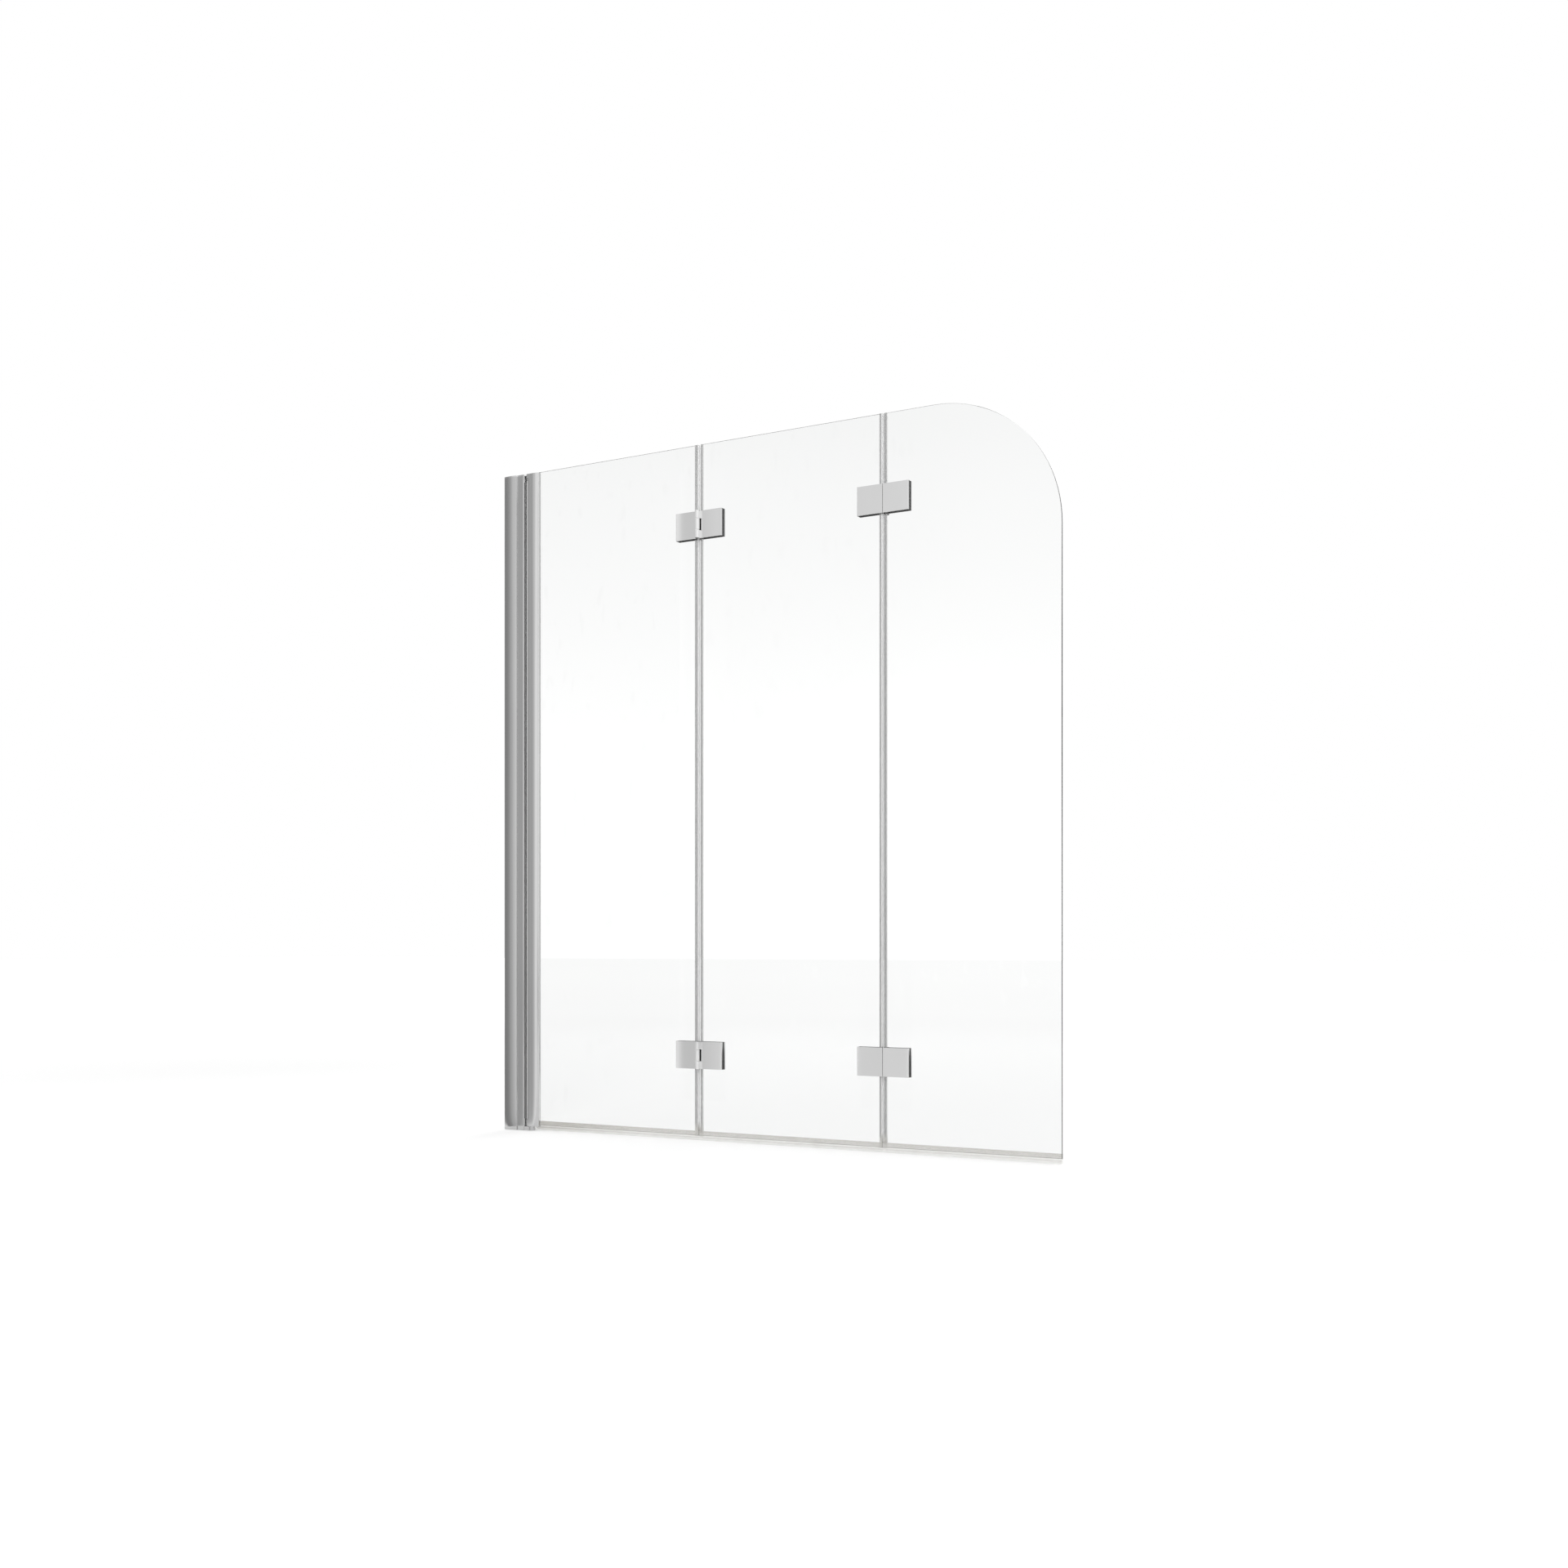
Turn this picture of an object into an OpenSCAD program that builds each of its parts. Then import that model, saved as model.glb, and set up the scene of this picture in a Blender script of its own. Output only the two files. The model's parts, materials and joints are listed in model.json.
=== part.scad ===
// Folding bath screen: a wall channel and a pivot profile carry three glass
// panels that fold in a zig-zag on two pairs of clamp hinges.
// X runs from the wall along the screen, +Y points into the bath, Z is up.
// The origin is on the wall, level with the bath rim, in the middle of the glass.

/* [Glass] */
// Distance from the wall to the free glass edge
screen_w = 1250; // [1150:5:1350]
// Height of every glass pane
glass_h = 1390; // [1000:5:1500]
// Thickness of the glass
glass_t = 5; // [4:0.5:6]
// Height of the lower glass edge above the bath rim
glass_z = 11.5; // [11:0.5:16]
// Radius of the free top corner
corner_r = 250; // [60:5:320]
// Bevel on the polished glass edges
arris = 0.6; // [0.2:0.1:1]

/* [Folds] */
// Distance from the wall to the first fold axis
fold_1_x = 486.5; // [440:0.5:520]
// Distance between the two fold axes
fold_pitch = 410; // [360:1:420]
// Distance from the glass face to a fold axis
axis_off = 10.5; // [10:0.25:13]
// Gap between neighbouring glass edges
glass_gap = 8; // [5:0.25:9]
// Height of a hinge centre from the nearer glass edge
hinge_inset = 162; // [80:1:250]

/* [Wall channel] */
// Depth of the channel from the wall
channel_d = 32; // [28:1:45]
// Width of the channel across its widest line
channel_w = 32.4; // [29.6:0.1:34]
// Rise of the bulged channel faces
channel_crown = 1.3; // [0.5:0.1:1.4]
// Thickness of the wall web
channel_web = 2; // [1.5:0.1:3]
// Height of the lowest wall-screw hole
wall_hole_z = 100; // [60:5:200]
// Greatest distance between wall-screw holes
wall_hole_pitch = 600; // [350:5:650]
// Radius of a wall-screw hole
wall_hole_r = 2.75; // [2:0.25:3.5]
// Thickness of the channel cap and of the top pivot plate
cap_t = 2.4; // [2.2:0.1:4]
// Drop from the glass top to the top of the profiles
profile_drop = 2.5; // [1:0.5:8]

/* [Pivot profile] */
// Reach of the pivot profile past the channel
profile_reach = 17.5; // [15:0.5:30]
// Length of the pivot profile held inside the channel
profile_insert = 24; // [20:0.5:26]
// Width of the pivot profile
profile_w = 24.8; // [24:0.1:25.2]
// Wall thickness of the pivot profile
profile_wall = 1.6; // [1.2:0.1:2]
// Depth of the pocket that holds the gap seal
pocket_d = 7.5; // [6:0.5:9]
// Radius of the pivot-screw port
port_r = 3.8; // [3.4:0.1:4.4]
// Height of the lowest fixing screw
fixing_z = 150; // [60:5:300]
// Greatest distance between fixing screws
fixing_pitch = 550; // [300:5:600]
// Height of the bottom pivot block
block_h = 8.2; // [7:0.1:10]

/* [Hinge profile] */
// Radius of the round nose about the pivot
nose_r = 12; // [11:0.25:12.25]
// Gap between the pivot profile and the nose
nose_gap = 0.5; // [0.5:0.1:1.5]
// Distance from the pivot to the end of the hinge profile
hinge_reach = 24.4; // [22:0.1:40]
// Distance from the pivot to the start of the taper
shoulder = 11; // [6:0.5:12]
// Amount that each face tapers in before its corner is rounded
taper_in = 2; // [1.5:0.25:3.5]
// Radius of the rounded corners at the glass end
end_round = 4.5; // [2:0.25:5]
// How much further the front lip of the glazing slot reaches than the bath-side lip
front_lip = 7.5; // [0.5:0.5:8]
// Wall thickness of the hinge profile
hinge_wall = 1.5; // [1.2:0.1:1.8]
// Thickness of the glazing gasket on each face of the glass
gasket_side = 0.9; // [0.6:0.1:1.4]
// Distance from the pivot to the bottom of the glazing slot
slot_start = 7.5; // [7.2:0.1:9]
// Radius of a pivot pin
pivot_pin_r = 3; // [2:0.25:3.5]
// Wall of a pivot bush
bush_wall = 1.9; // [1:0.1:2]
// Length of a pivot bush inside the hinge profile
bush_len = 20; // [16:1:30]
// Height of the square blocks in the ends of the hinge profile
end_block_h = 14; // [12:0.5:18]
// Reach of the square blocks from the pivot towards the wall
end_nose = 5.5; // [4:0.25:6.5]

/* [Clamp hinges] */
// Height of a clamp plate
plate_h = 55; // [48:1:70]
// Width of a leaf from the fold axis
leaf_w = 54; // [46:1:65]
// Thickness of a clamp plate
plate_t = 4.8; // [4.5:0.1:5.5]
// Thickness of the gasket between plate and glass
pad_t = 0.8; // [0.5:0.1:1]
// Gap between the two leaves
leaf_gap = 0.8; // [0.6:0.1:1.2]
// Radius of the knuckles
knuckle_r = 4.5; // [4:0.1:5]
// Height of the middle knuckle
knuckle_h = 22; // [18:0.5:26]
// Radius of the hinge pin
pin_r = 2; // [1.5:0.1:2.2]
// Height between the two screws of a leaf
screw_pitch = 28; // [24:1:30]
// Distance from the fold axis to the screws
screw_off = 30; // [24:1:36]
// Radius of a clamp screw
screw_r = 2.5; // [2:0.1:2.6]
// Radius of a hole in the glass
glass_hole_r = 5.5; // [5:0.1:6.5]

/* [Seals] */
// Length of the legs of the first panel's edge seal
leg_long = 7.5; // [5:0.5:10]
// Length of the legs of the second panel's right edge seal
leg_short = 4.5; // [3:0.5:8]
// Length of the legs of an edge strip that a bulb meets
leg_strip = 2.2; // [1.5:0.1:5]
// Thickness of a seal leg
leg_t = 1.1; // [0.8:0.1:1.3]
// Height of the bottom seal on the glass
clip_h = 9; // [6:0.5:14]
// Height of the seal lips above the bath rim
lip_z = 2; // [0.5:0.5:4]
// Half the spread of the two lips
lip_spread = 4.3; // [3:0.1:5]

/* [Hidden] */
$fn = 64;
fine = 360;      // facets round the large radii
over = 1;        // how far a cutter runs past what it cuts
play = 0.1;      // clearance between fixed pieces that slide together
run = 0.05;      // radial clearance of a pin in its bush
seat = 0.02;     // radial clearance of a pin in its seat

// Glass
half_t = glass_t / 2;
glass_top = glass_z + glass_h;
fold_2_x = fold_1_x + fold_pitch;
half_gap = glass_gap / 2;

// Wall channel and pivot profile
rail_top = glass_top - profile_drop;
rail_end = rail_top - cap_t;
half_channel = channel_w / 2;
half_profile = profile_w / 2;
profile_x0 = channel_d - profile_insert;
profile_x1 = channel_d + profile_reach;
web_x = profile_x1 - pocket_d - profile_wall;
port_x = web_x - port_r;
port_hole_r = 2.05;
pocket_half = half_profile - profile_wall;
fixing_x = channel_d / 2;
fixing_r = 1.9;
fixing_head_r = 3.6;
fixing_head_h = 2;
fixing_hex_r = 1.5;
fixing_len = 8;
cover_wall = 1.1;
cover_h = fixing_head_h + 1.2;
wall_hole_count = 3;
fixing_count = 3;
top_margin = 60;
wall_pitch = min(wall_hole_pitch, (rail_end - top_margin - wall_hole_z) / (wall_hole_count - 1));
screw_row = min(fixing_pitch, (rail_end - top_margin - fixing_z) / (fixing_count - 1));
lug_len = 8;
lug_t = 5;

// Pivot
pivot_x = profile_x1 + nose_gap + nose_r;
top_eye_r = slot_start - 0.3;
flange_t = 1.2;
flange_r = top_eye_r;
bush_r = pivot_pin_r + run + bush_wall;
bore_r = bush_r + run;
tube_r = bore_r + hinge_wall;
hinge_z0 = block_h + play + flange_t;
notch_z = rail_end - play - flange_t;
hinge_x1 = pivot_x + hinge_reach;
hinge_x2 = hinge_x1 - front_lip;
shoulder_x = pivot_x + shoulder;
taper_run = hinge_reach - shoulder;
taper_r = (taper_run * taper_run + taper_in * taper_in) / (2 * taper_in);
corner_lift = 0.1;
slot_half = half_t + gasket_side;
slot_x = pivot_x + slot_start;
gasket_base = 0.8;
glass_1_x0 = slot_x + gasket_base;
plug_t = 2;
rib_x = pivot_x + tube_r - hinge_wall;
end_x = rib_x + hinge_wall;
end_z0 = hinge_z0 + end_block_h;
end_z1 = rail_top - end_block_h;
groove_h = 1.2;
collar_h = 1.8;
spigot_h = 6;
pin_in_block = 6.5;
pin_in_bush = bush_len - 2;
plate_screw_r = 2;
plate_screw_head_r = 3.8;
plate_screw_head_h = 1.8;
plate_screw_hex_r = 1.4;
plate_screw_hex_d = 1;
plate_screw_len = 12;

// Clamp hinges: u along the screen, v towards the knuckles, w up
pad_v = half_t + pad_t;
plate_v = pad_v + plate_t;
axis_v = half_t + axis_off;
tongue_v = pad_v + 1.7;
notch_u = knuckle_r + 2;
edge_r = 0.8;
bush_flange = 0.6;
bush_gap = 0.1;
outer_w = knuckle_h / 2 + bush_flange + 2 * bush_gap;
pin_bush_wall = 0.9;
pin_bush_r = pin_r + run + pin_bush_wall;
pin_bush_len = 10;
pin_inset = 0.5;
head_r = screw_r + 2.1;
head_h = 2.4;
hex_r = 1.8;
hex_d = 1.6;
tip_depth = plate_t - 0.8;
hinge_z = [glass_z + hinge_inset, glass_top - hinge_inset];

// Seals
seal_web = 1;
seal_cut = plate_h / 2 + 0.5;
bulb_r = 2.1;
neck_half = 1;
bulb_wall = 0.8;
bulb_clear = 0.5;
clip_web = 1.3;
clip_t = 1.3;
lip_t = 1;
rail_t = 1.6;
tail_gap = 0.2;
panel_clear = 0.7;

ALUMINIUM = [0.66, 0.66, 0.65];
CHROME = [0.82, 0.82, 0.82];
STEEL = [0.6, 0.6, 0.61];
PLASTIC = [0.35, 0.35, 0.35];
RUBBER = [0.12, 0.12, 0.12];
CLEAR = [0.93, 0.96, 0.95, 0.35];
PVC = [0.75, 0.76, 0.73, 0.7];

// ---- Helpers ----

// Extrude a (Y, Z) outline along X from x0 to x1
module along_x(x0, x1) {
    translate([x0, 0, 0]) rotate([90, 0, 90]) linear_extrude(x1 - x0) children();
}

// Extrude an (X, Y) outline from z0 to z1
module upright(z0, z1) {
    translate([0, 0, z0]) linear_extrude(z1 - z0) children();
}

// A rectangle given by its limits
module box_2d(x0, x1, y0, y1) {
    translate([x0, y0]) square([x1 - x0, y1 - y0]);
}

// A block given by its limits
module block(x0, x1, y0, y1, z0, z1) {
    translate([x0, y0, z0]) cube([x1 - x0, y1 - y0, z1 - z0]);
}

// The same strip on both sides of the middle of the glass
module strips(x0, x1, y0, y1) {
    box_2d(x0, x1, y0, y1);
    box_2d(x0, x1, -y1, -y0);
}

// ---- Wall channel ----

module channel_outline() {
    flank_r = (fixing_x * fixing_x + channel_crown * channel_crown) / (2 * channel_crown);
    intersection() {
        box_2d(0, channel_d, -half_channel, half_channel);
        translate([fixing_x, half_channel - flank_r]) circle(flank_r, $fn = fine);
        translate([fixing_x, flank_r - half_channel]) circle(flank_r, $fn = fine);
    }
}

module wall_channel() {
    inner = half_profile + play;
    color(ALUMINIUM) difference() {
        upright(0, rail_end) difference() {
            channel_outline();
            box_2d(channel_web, channel_d + over, -inner, inner);
        }
        for (i = [0 : wall_hole_count - 1])
            translate([-over, 0, wall_hole_z + i * wall_pitch])
                rotate([0, 90, 0]) cylinder(r = wall_hole_r, h = channel_web + 2 * over);
        for (i = [0 : fixing_count - 1])
            translate([fixing_x, 0, fixing_z + i * screw_row])
                rotate([-90, 0, 0]) cylinder(r = fixing_r + play, h = half_channel + over);
    }
}

module channel_cap() {
    lug_half = half_profile - play;
    color(CHROME) {
        upright(rail_end, rail_top) channel_outline();
        block(channel_web + play, min(channel_web + lug_t, profile_x0 - play),
              -lug_half, lug_half, rail_end - lug_len, rail_end);
    }
}

// ---- Pivot profile ----

module pivot_profile_outline() {
    difference() {
        union() {
            strips(profile_x0, profile_x1 - profile_wall, pocket_half, half_profile);
            intersection() {
                strips(profile_x1 - profile_wall - over / 2, profile_x1, pocket_half, half_profile);
                for (s = [-1, 1]) translate([profile_x1 - profile_wall, s * pocket_half]) circle(profile_wall);
            }
            box_2d(web_x, web_x + profile_wall, -pocket_half - over / 2, pocket_half + over / 2);
            box_2d(port_x, web_x + over / 2, -port_r / 2, port_r / 2);
            translate([port_x, 0]) circle(port_r);
        }
        translate([port_x, 0]) circle(port_hole_r);
    }
}

module pivot_profile() {
    color(ALUMINIUM) difference() {
        upright(0, rail_end) pivot_profile_outline();
        block(port_x - port_r - over, profile_x1 + over, -pocket_half, pocket_half, -over, block_h);
        for (i = [0 : fixing_count - 1])
            translate([fixing_x, 0, fixing_z + i * screw_row])
                rotate([-90, 0, 0]) cylinder(r = fixing_r + play, h = half_profile + over);
    }
}

// Screws that set the pivot profile in the channel, from the bath side
module fixing_screws() {
    color(STEEL) for (i = [0 : fixing_count - 1])
        translate([fixing_x, half_channel, fixing_z + i * screw_row]) rotate([-90, 0, 0]) {
            translate([0, 0, -fixing_len]) cylinder(r = fixing_r, h = fixing_len);
            difference() {
                cylinder(r = fixing_head_r, h = fixing_head_h);
                translate([0, 0, fixing_head_h / 2]) cylinder(r = fixing_hex_r, h = fixing_head_h, $fn = 6);
            }
        }
}

module fixing_screw_caps() {
    inner_r = fixing_head_r + 2 * play;
    color(CHROME) for (i = [0 : fixing_count - 1])
        translate([fixing_x, half_channel, fixing_z + i * screw_row]) rotate([-90, 0, 0])
            difference() {
                cylinder(r = inner_r + cover_wall, h = cover_h);
                translate([0, 0, -over]) cylinder(r = inner_r, h = over + fixing_head_h + play);
            }
}

// ---- Pivot hardware ----

// Straight arm from x0 to the pivot, with a round end
module pivot_eye(x0, half_w, end_r) {
    box_2d(x0, pivot_x, -half_w, half_w);
    translate([pivot_x, 0]) circle(end_r);
}

// A screw that points up, with its head at z = 0
module plate_screw(length) {
    difference() {
        union() {
            cylinder(r1 = plate_screw_head_r, r2 = plate_screw_r, h = plate_screw_head_h);
            cylinder(r = plate_screw_r, h = length);
        }
        translate([0, 0, -over]) cylinder(r = plate_screw_hex_r, h = over + plate_screw_hex_d, $fn = 6);
    }
}

module plate_screw_hole(length) {
    cylinder(r1 = plate_screw_head_r + play, r2 = plate_screw_r + play, h = plate_screw_head_h);
    translate([0, 0, -over]) cylinder(r = plate_screw_r + play, h = length + 2 * over);
}

module top_pivot_plate() {
    color(CHROME) difference() {
        upright(rail_end, rail_top) {
            box_2d(channel_d + play, profile_x1, -half_profile, half_profile);
            pivot_eye(channel_d + play, top_eye_r, top_eye_r);
        }
        translate([pivot_x, 0, rail_end - over]) cylinder(r = pivot_pin_r + seat, h = cap_t + 2 * over);
        translate([port_x, 0, rail_top]) mirror([0, 0, 1]) plate_screw_hole(cap_t);
    }
}

// Rounded like the nose towards the wall, with a round boss under the pivot
module bottom_pivot_block() {
    half_w = pocket_half - play;
    color(ALUMINIUM) difference() {
        upright(0, block_h) {
            box_2d(port_x - port_r, profile_x1, -half_w, half_w);
            intersection() {
                pivot_eye(port_x, half_w, nose_r - 1);
                box_2d(port_x, pivot_x + play, -nose_r, nose_r);
            }
            translate([pivot_x, 0]) circle(top_eye_r);
        }
        translate([pivot_x, 0, block_h - pin_in_block])
            cylinder(r = pivot_pin_r + seat, h = pin_in_block + over);
        translate([port_x, 0, 0]) plate_screw_hole(block_h);
    }
}

module pivot_plate_screws() {
    color(STEEL) {
        translate([port_x, 0, 0]) plate_screw(block_h + plate_screw_len);
        translate([port_x, 0, rail_top]) mirror([0, 0, 1]) plate_screw(cap_t + plate_screw_len);
    }
}

module pivot_pins() {
    color(STEEL) {
        translate([pivot_x, 0, block_h - pin_in_block])
            cylinder(r = pivot_pin_r, h = pin_in_block + play + flange_t + pin_in_bush);
        translate([pivot_x, 0, notch_z - pin_in_bush])
            cylinder(r = pivot_pin_r, h = rail_top - notch_z + pin_in_bush);
    }
}

// Soft strip in the pocket of the pivot profile, with a round bulb at the nose
module gap_seal() {
    base_x = web_x + profile_wall;
    bulb_x = profile_x1 + 0.1;
    strip_bulb_r = 4.4;
    color(PLASTIC) upright(end_z0 + over, end_z1 - over) {
        box_2d(base_x, base_x + pocket_d / 3, -pocket_half + play, pocket_half - play);
        intersection() {
            translate([bulb_x - strip_bulb_r, 0]) circle(strip_bulb_r);
            box_2d(base_x, bulb_x, -pocket_half, pocket_half);
        }
    }
}

// ---- Hinge profile ----

// One side of the hinge profile past the shoulder, up to x1: the face follows
// a wide arc, which runs into a rounded corner. Drawn for the bath side.
module hinge_side(inset, x1) {
    corner_x = x1 - end_round;
    corner_y = nose_r - taper_r + corner_lift
        + sqrt(pow(taper_r - end_round, 2) - pow(corner_x - shoulder_x, 2));
    intersection() {
        union() {
            box_2d(shoulder_x, corner_x, 0, nose_r - inset);
            box_2d(shoulder_x, x1 - inset, 0, corner_y);
            translate([corner_x, corner_y]) circle(end_round - inset);
        }
        translate([shoulder_x, nose_r - taper_r]) circle(taper_r - inset, $fn = fine);
        box_2d(shoulder_x, x1, 0, nose_r);
    }
}

// Outer shape of the hinge profile, drawn in by a wall thickness
module hinge_shell(inset) {
    r = nose_r - inset;
    translate([pivot_x, 0]) circle(r, $fn = fine / 2);
    box_2d(pivot_x, shoulder_x, -r, r);
    hinge_side(inset, hinge_x2);
    mirror([0, 1]) hinge_side(inset, hinge_x1);
}

// Two side chambers and the chamber round the nose
module hinge_chambers() {
    difference() {
        hinge_shell(hinge_wall);
        translate([pivot_x, 0]) circle(tube_r);
        box_2d(pivot_x, hinge_x1, -slot_half - hinge_wall, slot_half + hinge_wall);
        box_2d(rib_x, end_x, -nose_r, nose_r);
    }
}

module hinge_profile() {
    color(ALUMINIUM) difference() {
        upright(hinge_z0, rail_top) difference() {
            hinge_shell(0);
            hinge_chambers();
            translate([pivot_x, 0]) circle(bore_r);
            box_2d(slot_x, hinge_x1 + over, -slot_half, slot_half);
        }
        for (z = [[hinge_z0 - over, end_z0], [end_z1, rail_top + over]]) {
            block(pivot_x - nose_r - over, pivot_x, -nose_r - over, nose_r + over, z[0], z[1]);
            block(pivot_x - over, end_x, hinge_wall - nose_r, nose_r - hinge_wall, z[0], z[1]);
        }
        block(pivot_x - over, slot_x, -slot_start, nose_r + over, notch_z, rail_top + over);
    }
}

// Blocks that fill the ends of the hinge profile round the pivot. Only the
// front of the upper block rises past the arm of the top pivot plate.
module hinge_end_blocks() {
    inner = nose_r - hinge_wall - play;
    module slice(z0, z1) {
        upright(z0, z1) {
            intersection() {
                translate([pivot_x, 0]) children();
                box_2d(pivot_x - 2 * nose_r, pivot_x - play, -nose_r, nose_r);
            }
            box_2d(pivot_x - end_nose / 2, end_x - play, -inner, inner);
        }
    }
    module square_nose() {
        intersection() {
            circle(nose_r + 1, $fn = fine / 2);
            box_2d(-end_nose, 0, -nose_r, nose_r);
        }
    }
    module spigot(z0, z1) {
        upright(z0, z1) intersection() {
            hinge_shell(hinge_wall + play);
            difference() {
                box_2d(pivot_x - nose_r, rib_x - play, -nose_r, nose_r);
                translate([pivot_x, 0]) circle(tube_r + play);
                box_2d(pivot_x, rib_x, -slot_half - hinge_wall - play, slot_half + hinge_wall + play);
            }
        }
    }
    bore_z = bush_len + 2 * spigot_h;
    color(ALUMINIUM) {
        difference() {
            union() {
                slice(hinge_z0, end_z0 - groove_h) square_nose();
                slice(end_z0 - groove_h, end_z0) circle(inner);
                spigot(end_z0, end_z0 + spigot_h);
            }
            translate([pivot_x, 0, hinge_z0 - over]) cylinder(r = bush_r + seat, h = bore_z);
        }
        difference() {
            union() {
                spigot(end_z1 - spigot_h, end_z1);
                slice(end_z1, end_z1 + groove_h) circle(inner);
                slice(end_z1 + groove_h, end_z1 + groove_h + collar_h) circle(nose_r, $fn = fine / 2);
                slice(end_z1 + groove_h + collar_h, end_z1 + 2 * groove_h + collar_h) circle(inner);
                slice(end_z1 + 2 * groove_h + collar_h, rail_top) square_nose();
            }
            block(pivot_x - nose_r - over, slot_x, -slot_start, nose_r + over, notch_z, rail_top + over);
            translate([pivot_x, 0, notch_z + over - bore_z]) cylinder(r = bush_r + seat, h = bore_z);
        }
    }
}

// Plugs that close the two side chambers at the top and the bottom
module hinge_profile_plugs() {
    module plug() {
        intersection() {
            hinge_shell(hinge_wall + play);
            strips(slot_x + play, hinge_x1, slot_half + hinge_wall + play, nose_r);
        }
    }
    color(PLASTIC) {
        upright(hinge_z0, hinge_z0 + plug_t) plug();
        upright(rail_top - plug_t, rail_top) plug();
    }
}

module pivot_bushes() {
    module bush() {
        difference() {
            union() {
                cylinder(r = flange_r, h = flange_t);
                cylinder(r = bush_r, h = flange_t + bush_len);
            }
            translate([0, 0, -over])
                cylinder(r = pivot_pin_r + run, h = flange_t + bush_len + 2 * over);
        }
    }
    color("ivory") {
        translate([pivot_x, 0, hinge_z0 - flange_t]) bush();
        translate([pivot_x, 0, notch_z + flange_t]) mirror([0, 0, 1]) bush();
    }
}

// Soft U round the first pane, flush with both lips of the slot
module glazing_gasket() {
    outer = slot_half - play / 2;
    color(PVC) upright(hinge_z0, rail_top) {
        box_2d(slot_x, glass_1_x0, -outer, outer);
        box_2d(slot_x, hinge_x2, half_t, outer);
        box_2d(slot_x, hinge_x1, -outer, -half_t);
    }
}

// ---- Glass ----

// A pane from x0 to x1 with bevelled top and bottom edges
module pane(x0, x1) {
    bevel = arris * sqrt(2);
    difference() {
        block(x0, x1, -half_t, half_t, glass_z, glass_top);
        for (s = [-1, 1], z = [glass_z, glass_top])
            translate([x0 - over, s * half_t, z]) rotate([45, 0, 0])
                translate([0, -bevel / 2, -bevel / 2]) cube([x1 - x0 + 2 * over, bevel, bevel]);
    }
}

// Holes for the clamp screws of one leaf; side is -1 for the left leaf, 1 for the right
module glass_holes(fold_x, side) {
    for (z = hinge_z, w = [-1, 1])
        translate([fold_x + side * screw_off, -half_t - over, z + w * screw_pitch / 2])
            rotate([-90, 0, 0]) cylinder(r = glass_hole_r, h = glass_t + 2 * over);
}

module glass_1() {
    color(CLEAR) difference() {
        pane(glass_1_x0, fold_1_x - half_gap);
        glass_holes(fold_1_x, -1);
    }
}

module glass_2() {
    color(CLEAR) difference() {
        pane(fold_1_x + half_gap, fold_2_x - half_gap);
        glass_holes(fold_1_x, 1);
        glass_holes(fold_2_x, -1);
    }
}

// What is cut away outside the round corner, with the bevel of the round edge
module corner_waste() {
    corner_x = screen_w - corner_r;
    corner_z = glass_top - corner_r;
    translate([corner_x, 0, corner_z]) {
        difference() {
            translate([0, -glass_t, 0]) cube([corner_r + over, 2 * glass_t, corner_r + over]);
            rotate([90, 0, 0]) cylinder(r = corner_r, h = 4 * glass_t, center = true, $fn = fine);
        }
        rotate([90, 0, 0]) for (s = [-1, 1]) rotate_extrude(angle = 90, $fn = fine)
            polygon([[corner_r - arris, s * half_t], [corner_r - arris, s * (half_t + over)],
                     [corner_r + over, s * (half_t + over)], [corner_r + over, s * (half_t - arris - over)]]);
    }
}

module glass_3() {
    bevel = arris * sqrt(2);
    color(CLEAR) difference() {
        pane(fold_2_x + half_gap, screen_w);
        glass_holes(fold_2_x, 1);
        corner_waste();
        for (s = [-1, 1])
            translate([screen_w, s * half_t, glass_z - over]) rotate([0, 0, 45])
                translate([-bevel / 2, -bevel / 2, 0]) cube([bevel, bevel, glass_h + 2 * over]);
    }
}

// ---- Edge seals ----

// Clip over a glass edge at u = -half_gap, with or without a necked bulb that fills the gap
module edge_seal_outline(leg, bulb) {
    outer = half_t + leg_t;
    web_u = -half_gap + seal_web;
    reach_u = half_gap - seal_web - bulb_clear;
    strips(-half_gap - leg, web_u, half_t, outer);
    box_2d(-half_gap, web_u, -half_t - leg_t / 2, half_t + leg_t / 2);
    if (bulb) difference() {
        union() {
            translate([reach_u - bulb_r, 0]) circle(bulb_r);
            box_2d(web_u - seal_web / 2, reach_u - bulb_r, -neck_half, neck_half);
        }
        translate([reach_u - bulb_r, 0]) circle(bulb_r - bulb_wall);
    }
}

// Seal in three lengths, cut where the hinges clamp the glass
module edge_seal(fold_x, side, leg, bulb) {
    foot = glass_z - clip_web;
    ends = [foot, hinge_z[0] - seal_cut, hinge_z[0] + seal_cut,
            hinge_z[1] - seal_cut, hinge_z[1] + seal_cut, glass_top];
    color(PVC) translate([fold_x, 0, 0]) for (i = [0, 2, 4])
        upright(ends[i], ends[i + 1])
            if (side < 0) edge_seal_outline(leg, bulb);
            else mirror([1, 0]) edge_seal_outline(leg, bulb);
}

// ---- Bottom seals ----

// Clip over the lower glass edge, as a (Y, Z) outline
module clip_outline() {
    foot = glass_z - clip_web;
    outer = half_t + play / 2 + clip_t;
    difference() {
        box_2d(-outer, outer, foot, glass_z + clip_h);
        box_2d(-half_t - play / 2, half_t + play / 2, glass_z - play / 2, glass_z + clip_h + over);
    }
}

// Two lips that splay out from under the clip to the bath rim
module lip_outline() {
    foot = glass_z - clip_web;
    box_2d(-half_t, half_t, foot - rail_t, foot);
    for (s = [-1, 1])
        polygon([[s * (half_t - lip_t), foot], [s * half_t, foot],
                 [s * lip_spread, lip_z], [s * (lip_spread - lip_t), lip_z]]);
}

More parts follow.
